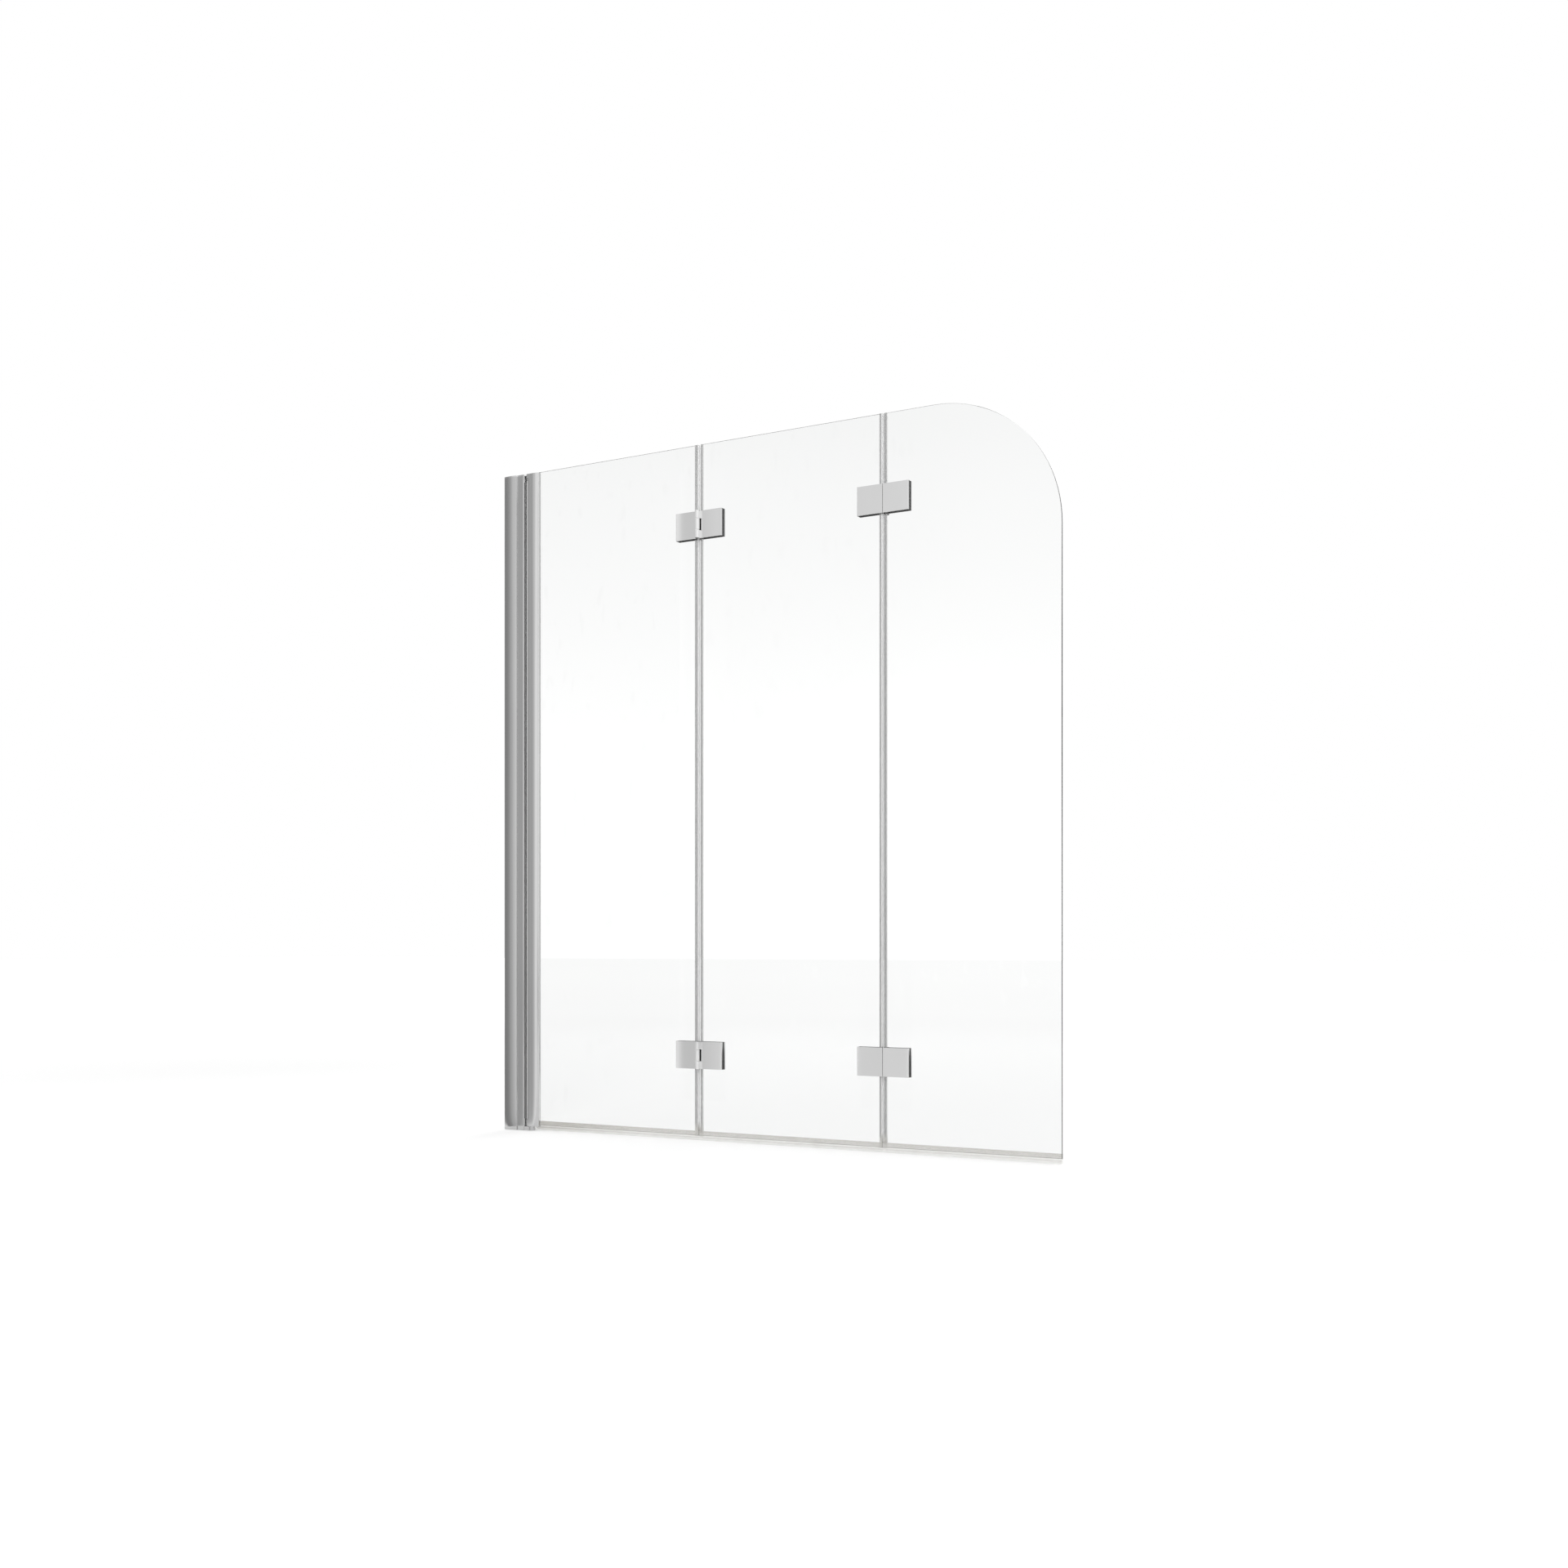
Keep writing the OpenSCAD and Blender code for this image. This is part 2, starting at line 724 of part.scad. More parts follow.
// A bottom seal whose clip runs from clip_x0 to clip_x1 and its lips from lip_x0 to lip_x1
module bottom_seal(clip_x0, clip_x1, lip_x0, lip_x1) {
    color(PVC) {
        along_x(clip_x0, clip_x1) clip_outline();
        along_x(lip_x0, lip_x1) lip_outline();
    }
}

// The lips of the first seal run on under the hinge profile
module bottom_seal_1() {
    start_x = hinge_x1 + play;
    end_x = fold_1_x - half_gap - leg_long - play;
    tail_x = pivot_x + nose_r + tail_gap;
    difference() {
        bottom_seal(start_x, end_x, tail_x, fold_1_x - panel_clear);
        block(tail_x - over, start_x - play / 2, -nose_r, nose_r, hinge_z0 - tail_gap, glass_z);
    }
}

module bottom_seal_2() {
    bottom_seal(fold_1_x + half_gap + leg_strip + play, fold_2_x - half_gap - leg_short - play,
                fold_1_x + panel_clear, fold_2_x - panel_clear);
}

module bottom_seal_3() {
    bottom_seal(fold_2_x + half_gap + leg_strip + play, screen_w, fold_2_x + panel_clear, screen_w);
}

// ---- Clamp hinges ----

// Put a hinge in its place; fold 1 has its knuckles in front, fold 2 behind
module at_hinge(fold, level) {
    translate([fold == 1 ? fold_1_x : fold_2_x, 0, hinge_z[level]])
        if (fold == 1) mirror([0, 1, 0]) children();
        else children();
}

// Turn what is drawn for the right leaf into the left leaf
module leaf_side(side) {
    if (side < 0) mirror([1, 0, 0]) children();
    else children();
}

// Flat plate of the right leaf from u0 outwards, with rounded outer edges
module leaf_plate(u0) {
    translate([0, 0, -plate_h / 2]) linear_extrude(plate_h) {
        box_2d(u0, leaf_w - edge_r, pad_v, plate_v);
        box_2d(u0, leaf_w, pad_v, plate_v - edge_r);
        translate([leaf_w - edge_r, plate_v - edge_r]) circle(edge_r);
    }
}

// Knuckle with its root, from w0 to w1
module knuckle(w0, w1) {
    translate([0, 0, w0]) linear_extrude(w1 - w0) {
        translate([0, axis_v]) circle(knuckle_r);
        box_2d(-knuckle_r, knuckle_r, tongue_v, axis_v);
    }
}

// Screw hole along v; the head sinks in at v1, and the hole ends at v0
module screw_cut(w, v0, v1, radius, head) {
    translate([screw_off, v0, w]) rotate([-90, 0, 0]) {
        cylinder(r = radius, h = v1 - v0);
        if (head) translate([0, 0, v1 - v0 - head_h])
            cylinder(r1 = screw_r + play, r2 = head_r + play, h = head_h);
        if (head) translate([0, 0, v1 - v0]) cylinder(r = head_r + play, h = over);
    }
}

// Screw holes of a plate; the heads are on the back of the screen on both folds
module plate_holes(head) {
    for (w = [-1, 1] * screw_pitch / 2)
        if (head) screw_cut(w, pad_v - over, plate_v, screw_r + play, true);
        else screw_cut(w, pad_v - over, pad_v + tip_depth, screw_r + seat, false);
}

module middle_knuckle_plate(fold, level) {
    half_h = knuckle_h / 2;
    color(CHROME) at_hinge(fold, level) leaf_side(-1) difference() {
        union() {
            difference() {
                leaf_plate(leaf_gap / 2);
                for (s = [0, 1]) mirror([0, 0, s])
                    block(-over, notch_u, 0, plate_v + over, half_h, plate_h / 2 + over);
            }
            knuckle(-half_h, half_h);
        }
        translate([0, axis_v, -plate_h]) cylinder(r = pin_r + seat, h = 2 * plate_h);
        plate_holes(fold == 2);
    }
}

module outer_knuckle_plate(fold, level) {
    color(CHROME) at_hinge(fold, level) difference() {
        union() {
            difference() {
                leaf_plate(leaf_gap / 2);
                block(-over, notch_u, 0, plate_v + over, -outer_w, outer_w);
            }
            knuckle(outer_w, plate_h / 2);
            knuckle(-plate_h / 2, -outer_w);
        }
        translate([0, axis_v, -plate_h]) cylinder(r = pin_bush_r + seat, h = 2 * plate_h);
        plate_holes(fold == 2);
    }
}

module clamp_plate(fold, level, side) {
    color(CHROME) at_hinge(fold, level) leaf_side(side) mirror([0, 1, 0]) difference() {
        leaf_plate(leaf_gap / 2);
        plate_holes(fold == 1);
    }
}

// Pads on both faces of the glass, each with two sleeves in the glass holes
module gaskets(fold, side) {
    pad_u = half_gap + 0.3;
    color(RUBBER) for (level = [0, 1], s = [0, 1]) at_hinge(fold, level) leaf_side(side)
        mirror([0, s, 0]) difference() {
            union() {
                block(pad_u, leaf_w, half_t, pad_v, -plate_h / 2, plate_h / 2);
                for (w = [-1, 1]) translate([screw_off, play, w * screw_pitch / 2])
                    rotate([-90, 0, 0]) cylinder(r = glass_hole_r - play, h = pad_v - play);
            }
            for (w = [-1, 1]) translate([screw_off, -over, w * screw_pitch / 2])
                rotate([-90, 0, 0]) cylinder(r = screw_r + 2 * play, h = pad_v + 2 * over);
        }
}

// A screw with its head at v = plate_v and its tip in the plate on the far side
module clamp_screw() {
    length = plate_v + pad_v + tip_depth - 2 * play;
    translate([0, plate_v, 0]) rotate([90, 0, 0]) difference() {
        union() {
            cylinder(r1 = head_r, r2 = screw_r, h = head_h);
            cylinder(r = screw_r, h = length);
        }
        translate([0, 0, -over]) cylinder(r = hex_r, h = over + hex_d, $fn = 6);
    }
}

module clamp_screws(fold, side) {
    color(STEEL) for (level = [0, 1], w = [-1, 1] * screw_pitch / 2)
        at_hinge(fold, level) leaf_side(side) translate([screw_off, 0, w])
            mirror([0, fold == 1 ? 1 : 0, 0]) clamp_screw();
}

module hinge_pins(fold) {
    length = plate_h - 2 * pin_inset;
    color(STEEL) for (level = [0, 1]) at_hinge(fold, level)
        translate([0, axis_v, -length / 2]) cylinder(r = pin_r, h = length);
}

// Flanged bushes in the outer knuckles
module hinge_bushes(fold) {
    color("ivory") for (level = [0, 1], s = [0, 1]) at_hinge(fold, level) mirror([0, 0, s])
        translate([0, axis_v, outer_w - bush_flange]) difference() {
            union() {
                cylinder(r = knuckle_r - play, h = bush_flange);
                cylinder(r = pin_bush_r, h = pin_bush_len);
            }
            translate([0, 0, -over]) cylinder(r = pin_r + run, h = pin_bush_len + 2 * over);
        }
}

// ---- Nodes ----

wall_channel();
channel_cap();
pivot_profile();
fixing_screws();
fixing_screw_caps();
top_pivot_plate();
bottom_pivot_block();
pivot_plate_screws();
pivot_pins();
gap_seal();
hinge_profile();
hinge_end_blocks();
hinge_profile_plugs();
pivot_bushes();
glazing_gasket();
glass_1();
glass_2();
glass_3();
edge_seal(fold_1_x, -1, leg_long, true);  // panel_1_edge_seal
edge_seal(fold_1_x, 1, leg_strip, false);  // panel_2_left_seal
edge_seal(fold_2_x, -1, leg_short, true);  // panel_2_right_seal
edge_seal(fold_2_x, 1, leg_strip, false);  // panel_3_edge_seal
bottom_seal_1();
bottom_seal_2();
bottom_seal_3();
middle_knuckle_plate(1, 0);  // hinge_1_lower_left_knuckle_plate
clamp_plate(1, 0, -1);  // hinge_1_lower_left_clamp_plate
outer_knuckle_plate(1, 0);  // hinge_1_lower_right_knuckle_plate
clamp_plate(1, 0, 1);  // hinge_1_lower_right_clamp_plate
middle_knuckle_plate(1, 1);  // hinge_1_upper_left_knuckle_plate
clamp_plate(1, 1, -1);  // hinge_1_upper_left_clamp_plate
outer_knuckle_plate(1, 1);  // hinge_1_upper_right_knuckle_plate
clamp_plate(1, 1, 1);  // hinge_1_upper_right_clamp_plate
middle_knuckle_plate(2, 0);  // hinge_2_lower_left_knuckle_plate
clamp_plate(2, 0, -1);  // hinge_2_lower_left_clamp_plate
outer_knuckle_plate(2, 0);  // hinge_2_lower_right_knuckle_plate
clamp_plate(2, 0, 1);  // hinge_2_lower_right_clamp_plate
middle_knuckle_plate(2, 1);  // hinge_2_upper_left_knuckle_plate
clamp_plate(2, 1, -1);  // hinge_2_upper_left_clamp_plate
outer_knuckle_plate(2, 1);  // hinge_2_upper_right_knuckle_plate
clamp_plate(2, 1, 1);  // hinge_2_upper_right_clamp_plate
gaskets(1, -1);  // hinge_1_left_gaskets
gaskets(1, 1);  // hinge_1_right_gaskets
gaskets(2, -1);  // hinge_2_left_gaskets
gaskets(2, 1);  // hinge_2_right_gaskets
clamp_screws(1, -1);  // hinge_1_left_screws
clamp_screws(1, 1);  // hinge_1_right_screws
clamp_screws(2, -1);  // hinge_2_left_screws
clamp_screws(2, 1);  // hinge_2_right_screws
hinge_pins(1);  // hinge_1_pins
hinge_pins(2);  // hinge_2_pins
hinge_bushes(1);  // hinge_1_bushes
hinge_bushes(2);  // hinge_2_bushes
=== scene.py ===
"""Looks of a folding bath screen: clear glass, polished metal and soft plastic seals.

Every shape comes from the CAD frame. This script gives each node its material,
and adds the floor, the cards, the light and the camera. Lengths are in metres.
"""

import json
import math

import bpy
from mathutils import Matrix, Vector


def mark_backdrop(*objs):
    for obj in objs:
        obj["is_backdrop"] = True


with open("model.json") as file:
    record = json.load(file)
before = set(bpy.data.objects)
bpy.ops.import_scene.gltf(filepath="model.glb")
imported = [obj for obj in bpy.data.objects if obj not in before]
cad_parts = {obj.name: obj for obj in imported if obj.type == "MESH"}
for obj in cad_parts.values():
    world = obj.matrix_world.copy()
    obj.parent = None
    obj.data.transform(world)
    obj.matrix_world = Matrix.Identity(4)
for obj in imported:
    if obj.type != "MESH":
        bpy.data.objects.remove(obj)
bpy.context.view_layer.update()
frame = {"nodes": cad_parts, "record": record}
nodes = frame["nodes"]
scene = bpy.context.scene

# Places on the screen that the looks depend on
FOLDS = (0.4865, 0.8965)
LAST_PANE_X = 0.895
GLASS_TOP = 1.4
LOW_SEAL_Z = (0.002, 0.0205)


# ---- Node trees ----


class Tree:
    """Builds a node tree. Inputs are given by name or number, as values or as sockets."""

    def __init__(self, owner):
        owner.use_nodes = True
        self.nodes = owner.node_tree.nodes
        self.links = owner.node_tree.links
        self.nodes.clear()

    def add(self, kind, inputs=None, **settings):
        made = self.nodes.new(kind)
        for key, value in settings.items():
            setattr(made, key, value)
        for key, value in (inputs or {}).items():
            if isinstance(value, bpy.types.NodeSocket):
                self.links.new(value, made.inputs[key])
            else:
                made.inputs[key].default_value = value
        return made

    def maths(self, operation, a, b=0.0, clamp=False):
        inputs = {0: a, 1: b}
        return self.add("ShaderNodeMath", inputs, operation=operation, use_clamp=clamp).outputs[0]

    def blend(self, share, a, b):
        """A colour between a and b."""
        return self.add("ShaderNodeMix", {0: share, 6: a, 7: b}, data_type="RGBA").outputs[2]

    def ramp(self, share, stops):
        """A grey scale: stops are (position, value) pairs."""
        made = self.add("ShaderNodeValToRGB", {"Fac": share})
        points = made.color_ramp.elements
        points[0].position, points[1].position = stops[0][0], stops[-1][0]
        points[0].color, points[1].color = grey(stops[0][1]), grey(stops[-1][1])
        for place, value in stops[1:-1]:
            points.new(place).color = grey(value)
        return made.outputs["Color"]

    def rescale(self, value, low, high, to_low=0.0, to_high=1.0):
        """low..high mapped to to_low..to_high, and held beyond both ends."""
        inputs = {0: value, 1: low, 2: high, 3: to_low, 4: to_high}
        return self.add("ShaderNodeMapRange", inputs).outputs[0]

    def spread(self, value, low, high):
        """A 0..1 value mapped to low..high."""
        return self.rescale(value, 0.0, 1.0, low, high)

    def parts(self, vector):
        """The X, Y and Z of a vector."""
        return self.add("ShaderNodeSeparateXYZ", {0: vector}).outputs

    def coords(self):
        return self.add("ShaderNodeTexCoord").outputs

    def ray(self):
        """What is known of the ray that sees the shader."""
        return self.add("ShaderNodeLightPath").outputs

    def noise(self, scale, along, detail=2.0, offset=(0, 0, 0)):
        """Noise in the object's own space: features per metre, times along in the Z direction."""
        inputs = {
            "Vector": self.coords()["Object"],
            "Scale": (scale, scale, scale * along),
            "Location": offset,
        }
        placed = self.add("ShaderNodeMapping", inputs).outputs["Vector"]
        inputs = {"Vector": placed, "Scale": 1.0, "Detail": detail}
        return self.add("ShaderNodeTexNoise", inputs).outputs["Fac"]

    def edges(self, radius):
        """(normal with rounded edges, 0..1 mask that is 1 on the edges)"""
        round_n = self.add("ShaderNodeBevel", {"Radius": radius}, samples=4).outputs["Normal"]
        flat_n = self.add("ShaderNodeNewGeometry").outputs["Normal"]
        same = self.add("ShaderNodeVectorMath", {0: round_n, 1: flat_n}, operation="DOT_PRODUCT")
        off = self.maths("SUBTRACT", 1.0, same.outputs["Value"])
        return round_n, self.maths("MULTIPLY", off, 6.0, clamp=True)

    def bump(self, height, strength, distance, normal):
        inputs = {"Height": height, "Strength": strength, "Distance": distance, "Normal": normal}
        return self.add("ShaderNodeBump", inputs).outputs["Normal"]

    def principled(self, inputs):
        return self.add("ShaderNodeBsdfPrincipled", inputs).outputs["BSDF"]

    def glow(self, colour, strength=1.0):
        inputs = {"Color": colour, "Strength": strength}
        return self.add("ShaderNodeEmission", inputs).outputs["Emission"]

    def clear(self, tint=(1, 1, 1, 1)):
        return self.add("ShaderNodeBsdfTransparent", {"Color": tint}).outputs["BSDF"]

    def mix(self, share, a, b):
        """A shader between a and b."""
        return self.add("ShaderNodeMixShader", {0: share, 1: a, 2: b}).outputs["Shader"]

    def finish(self, shader, kind="ShaderNodeOutputMaterial"):
        self.add(kind, {"Surface": shader})


def new_material(name):
    made = bpy.data.materials.new(name)
    return made, Tree(made)


def grey(value, warm=0.0):
    return (value * (1 + warm), value, value * (1 - warm), 1)


def times(colour, factor):
    """A lighter or darker colour, short of pure white."""
    return [min(c * factor, 0.97) for c in colour[:3]] + [1]


# ---- Materials ----

METAL_EDGE = 0.0003
PLASTIC_EDGE = 0.00025
PLASTIC_IOR = 1.46
GLASS_IOR = 1.5
# Offsets that keep two noises of one material apart
SMEAR_OFFSET = (3, 1, 7)
GRAIN_OFFSET = (5, 2, 1)


def metal(name, colour, rough, lines):
    """Metal with fine drawn lines along Z, faint smears and brighter, softly rounded edges."""
    material, t = new_material(name)
    fine = t.noise(2600, 0.012, 3.0)
    smear = t.noise(14, 0.5, 3.0, SMEAR_OFFSET)
    normal, mask = t.edges(METAL_EDGE)
    shade = t.blend(smear, times(colour, 0.95), colour)
    shade = t.blend(t.maths("MULTIPLY", mask, 0.08), shade, grey(0.95))
    drawn = t.spread(fine, rough - lines, rough + lines)
    shader = t.principled(
        {
            "Base Color": shade,
            "Metallic": 1.0,
            "Roughness": t.maths("ADD", drawn, t.spread(smear, -0.015, 0.03)),
            "Normal": t.bump(fine, 0.1 + lines, 0.00002, normal),
        }
    )
    t.finish(shader)
    return material


def plastic(name, colour, rough):
    """Moulded plastic or rubber with a fine grain and slightly lighter edges."""
    material, t = new_material(name)
    cloud = t.noise(30, 0.2)
    fine = t.noise(900, 0.3, offset=GRAIN_OFFSET)
    normal, mask = t.edges(PLASTIC_EDGE)
    shade = t.blend(cloud, times(colour, 0.93), colour)
    shade = t.blend(t.maths("MULTIPLY", mask, 0.15), shade, times(colour, 1.2))
    shader = t.principled(
        {
            "Base Color": shade,
            "Roughness": t.spread(fine, rough - 0.05, rough + 0.07),
            "IOR": PLASTIC_IOR,
            "Normal": t.bump(fine, 0.12, 0.00003, normal),
        }
    )
    t.finish(shader)
    return material


# Opacity and tone of the upright seals of the two joints: (millimetres from the fold, value)
SEAL_SPAN = (-0.012, 0.008)
SEAL_MILK = (
    [(-12, 0.46), (-6, 0.46), (-5.2, 0.3), (-4.2, 0.3), (-4, 0.88), (-1.7, 0.88), (-1.5, 0.1),
     (1, 0.08), (1.6, 0.4), (8, 0.5)],
    [(-12, 0.5), (-4.4, 0.5), (-4, 0.8), (-1.7, 0.8), (-1.5, 0.12), (-1, 0.12), (-0.4, 0.4),
     (8, 0.45)],
)
# The near-white tone from the web over the bulb is partly the web's milky colour and partly painted
# light that lifts the shaded gap between the panes.
SEAL_TONE_AND_PAINTED_LIGHT = (
    [(-12, 0.4), (-4.4, 0.4), (-4, 0.97), (1, 0.97), (1.6, 0.42), (8, 0.4)],
    [(-12, 0.4), (-4.4, 0.4), (-4, 0.97), (-1, 0.97), (-0.4, 0.4), (8, 0.4)],
)
BACK_LEG_SHARE = 0.35
# Opacity of the bottom seals from their lips (0) to their upper edge (1), and their colour
LOW_MILK = [(0.0, 0.08), (0.2, 0.15), (0.45, 0.22), (0.75, 0.26), (0.9, 0.28), (1.0, 0.34)]
LOW_COLOUR = (0.6, 0.585, 0.545, 1)
# The first bottom seal is more opaque, and so darker, towards its wall end: X of the two ends of
# that change
WALL_END_X = (0.14, 0.33)
WALL_END_MILK = 1.6
# Height at which the bottom seals' look gives way to that of the upright seals
LOOKS_CHANGE_Z = (0.022, 0.04)


def span_stops(stops):
    start, end = SEAL_SPAN
    return [((mm / 1000 - start) / (end - start), value) for mm, value in stops]


def soft_clear(name):
    """Clear extruded plastic: milky legs on the glass, a near-white web and a clearer bulb between,
    darker edges. The web's near-white is partly its milky colour and partly painted light; the
    darker edges are painted shade.
    """
    material, t = new_material(name)
    cloud = t.noise(30, 0.2)
    fine = t.noise(500, 0.05, offset=GRAIN_OFFSET)
    normal, mask = t.edges(PLASTIC_EDGE)
    at = t.parts(t.coords()["Object"])
    second = t.maths("GREATER_THAN", at["X"], sum(FOLDS) / 2)
    off = t.maths("SUBTRACT", at["X"], t.spread(second, *FOLDS))
    off = t.rescale(off, *SEAL_SPAN)
    milk_and_edge_shade = t.blend(second, *[t.ramp(off, span_stops(stops)) for stops in SEAL_MILK])
    # Near-white web zone of this tone: partly milky colour, partly painted light for the shaded gap
    # between the panes
    tone = t.blend(second, *[t.ramp(off, span_stops(stops)) for stops in SEAL_TONE_AND_PAINTED_LIGHT])
    upright = t.maths("MULTIPLY", milk_and_edge_shade, t.rescale(at["Y"], 0.0, 0.002, 1.0, BACK_LEG_SHARE))
    lips = t.ramp(t.rescale(at["Z"], *LOW_SEAL_Z), LOW_MILK)
    lips = t.maths("MULTIPLY", lips, t.rescale(at["X"], *WALL_END_X, WALL_END_MILK, 1.0))
    high = t.rescale(at["Z"], *LOOKS_CHANGE_Z)
    milk_and_edge_shade = t.blend(high, lips, upright)
    milk_and_edge_shade = t.maths("ADD", milk_and_edge_shade, t.spread(cloud, -0.03, 0.03))
    # Painted shade: the edges are made more opaque to draw the dark lines that refraction gives
    # along a clear seal's edges.
    milk_and_edge_shade = t.maths("ADD", milk_and_edge_shade, t.maths("MULTIPLY", mask, 0.2), clamp=True)
    shader = t.principled(
        {
            "Base Color": t.blend(high, LOW_COLOUR, tone),
            "Roughness": t.spread(fine, 0.12, 0.24),
            "IOR": PLASTIC_IOR,
            "Alpha": milk_and_edge_shade,
            "Normal": t.bump(fine, 0.1, 0.00003, normal),
        }
    )
    t.finish(shader)
    return material


GLASS_TINT = (0.988, 0.993, 0.99, 1)
LAMP_TINT = (0.95, 0.955, 0.952, 1)
# Edge tones: the side edges have a faint tint; the top edges' tones, deep on the first two panes
# and faint on the last, are painted shade
SIDE_EDGE, TOP_EDGE_PAINTED_SHADE, LAST_TOP_EDGE_PAINTED_SHADE = 0.9, 0.3, 0.95
# Tone of the free edge from its foot (0) to its top (1): painted shade and reflection, darkest at
# mid-height
FREE_EDGE_PAINTED_SHADE = [
    (0.0, 0.5), (0.1, 0.32), (0.28, 0.2), (0.44, 0.06), (0.53, 0.01), (0.61, 0.01), (0.7, 0.05),
    (0.78, 0.25), (0.9, 0.9),
]


def glass(name):
    """Clear toughened glass with faint marks, a faint tint on the side edges, and painted shade on
    the free and top edges. Lamps shine straight through.
    """
    material, t = new_material(name)
    marks = t.noise(55, 0.35, 4.0)
    coords = t.coords()
    facing, at = t.parts(coords["Normal"]), t.parts(coords["Object"])
    # The two large faces look along Y, and all others are edges
    rim = t.rescale(t.maths("ABSOLUTE", facing["Y"]), 0.75, 0.9, 1.0, 0.0)
    # Painted shade and reflection along the free edge, changing with height
    free = t.ramp(t.maths("DIVIDE", at["Z"], GLASS_TOP), FREE_EDGE_PAINTED_SHADE)
    side = t.blend(t.maths("GREATER_THAN", facing["X"], 0.2), grey(SIDE_EDGE), free)
    last = t.maths("GREATER_THAN", at["X"], LAST_PANE_X)
    # Painted shade on the top edges, deep on the first two panes and faint on the last
    top = t.blend(last, grey(TOP_EDGE_PAINTED_SHADE), grey(LAST_TOP_EDGE_PAINTED_SHADE))
    edge = t.blend(t.maths("GREATER_THAN", facing["Z"], 0.5), side, top)
    shader = t.principled(
        {
            "Base Color": t.blend(rim, GLASS_TINT, edge),
            "Roughness": t.spread(marks, 0.0, 0.006),
            "IOR": GLASS_IOR,
            "Transmission Weight": 1.0,
        }
    )
    t.finish(t.mix(t.ray()["Is Shadow Ray"], shader, t.clear(LAMP_TINT)))
    return material


MATERIALS = {
    "polished_aluminium": metal("polished_aluminium", grey(0.71), 0.12, 0.03),
    "chrome_plate": metal("chrome_plate", grey(0.88), 0.07, 0.015),
    "stainless_steel": metal("stainless_steel", grey(0.58), 0.28, 0.05),
    "grey_plastic": plastic("grey_plastic", grey(0.55), 0.5),
    "white_nylon": plastic("white_nylon", grey(0.78, 0.01), 0.42),
    "black_gasket": plastic("black_gasket", grey(0.025), 0.6),
    "clear_seal": soft_clear("clear_seal"),
    "clear_glass": glass("clear_glass"),
}

for part in frame["record"]["subparts"]:
    mesh = nodes[part["node"]].data
    mesh.materials.clear()
    mesh.materials.append(MATERIALS[part["material_slot"]])


# ---- Floor ----

FLOOR_HALF = 40
FLOOR_Z = -0.0005
# Light added for the camera: share at the first distance and at the second
FLOOR_LIFT = (2.0, 6.0, 0.25, 0.65)
# Tone seen through glass, over the distance as a share of FLOOR_FAR
FLOOR_FAR = 16.0
FLOOR_TONES = [
    (0.0, 0.893), (0.044, 0.898), (0.094, 0.913), (0.19, 0.936), (0.39, 0.974), (1.0, 0.99),
]
FLOOR_TONES_GAIN = 1.072
FLOOR_TONES_SHARE = 0.9


def staged_mesh(name, corners, faces):
    """A mesh that belongs to the studio and not to the part."""
    mesh = bpy.data.meshes.new(name)
    mesh.from_pydata(corners, [], faces)
    made = bpy.data.objects.new(name, mesh)
    scene.collection.objects.link(made)
    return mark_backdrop(made) or made


def flat_sheet(name, corners):
    return staged_mesh(name, corners, [range(len(corners))])


def white_floor():
    """A white floor that fades into the background, and is paler where it is seen through glass."""
    half = FLOOR_HALF
    square = [(-half, -half), (half, -half), (half, half), (-half, half)]
    floor = flat_sheet("floor", [(x, y, FLOOR_Z) for x, y in square])
    material, t = new_material("floor")
    ray = t.ray()
    far = t.add("ShaderNodeVectorMath", {0: t.coords()["Object"]}, operation="LENGTH")
    far = far.outputs["Value"]
    matt = t.add("ShaderNodeBsdfDiffuse", {"Color": grey(0.82)}).outputs["BSDF"]
    lift = t.maths("MULTIPLY", ray["Is Camera Ray"], t.rescale(far, *FLOOR_LIFT))
    plain = t.add("ShaderNodeAddShader", {0: matt, 1: t.glow(grey(1.0), lift)}).outputs["Shader"]
    pale = t.ramp(t.maths("DIVIDE", far, FLOOR_FAR), FLOOR_TONES)
    behind = t.glow(grey(1.0), t.maths("MULTIPLY", pale, FLOOR_TONES_GAIN))
    through = t.maths("MULTIPLY", ray["Is Transmission Ray"], FLOOR_TONES_SHARE)
    t.finish(t.mix(through, plain, behind))
    floor.data.materials.append(material)


white_floor()


# ---- Cards, which only the reflections in metal and plastic see ----

CARDS_X = 0.05
ARC_STEPS = 90
NEAR_Y = -0.3


def gloss_card(card, t, colour):
    """Hides a card from all but reflections, which may go on through glass.

    The near face of a pane doesn't mirror it: glass is so smooth that its own rays are singular.
    """
    card.visible_camera = card.visible_diffuse = card.visible_shadow = False
    card.visible_volume_scatter = False
    ray = t.ray()
    mirror = t.maths("SUBTRACT", ray["Is Singular Ray"], ray["Is Transmission Ray"], clamp=True)
    met = t.maths("GREATER_THAN", ray["Glossy Depth"], 0.5)
    met = t.maths("SUBTRACT", met, mirror, clamp=True)
    t.finish(t.mix(met, t.clear(), t.glow(colour)))


def low_dark_card(name, x0, x1, y0, y1, z, soft, value):
    """A dark patch on the floor with borders that fade over the width soft."""
    card = flat_sheet(name, [(x0, y0, z), (x1, y0, z), (x1, y1, z), (x0, y1, z)])
    material, t = new_material(name)
    at = t.parts(t.coords()["Object"])
    dark = None
    for axis, low, high in (("X", x0, x1), ("Y", y0, y1)):
        for start, end in ((low, low + soft), (high, high - soft)):
            rise = t.rescale(at[axis], start, end)
            dark = rise if dark is None else t.maths("MULTIPLY", dark, rise)
    card.data.materials.append(material)
    gloss_card(card, t, t.blend(dark, grey(1.0), grey(value)))


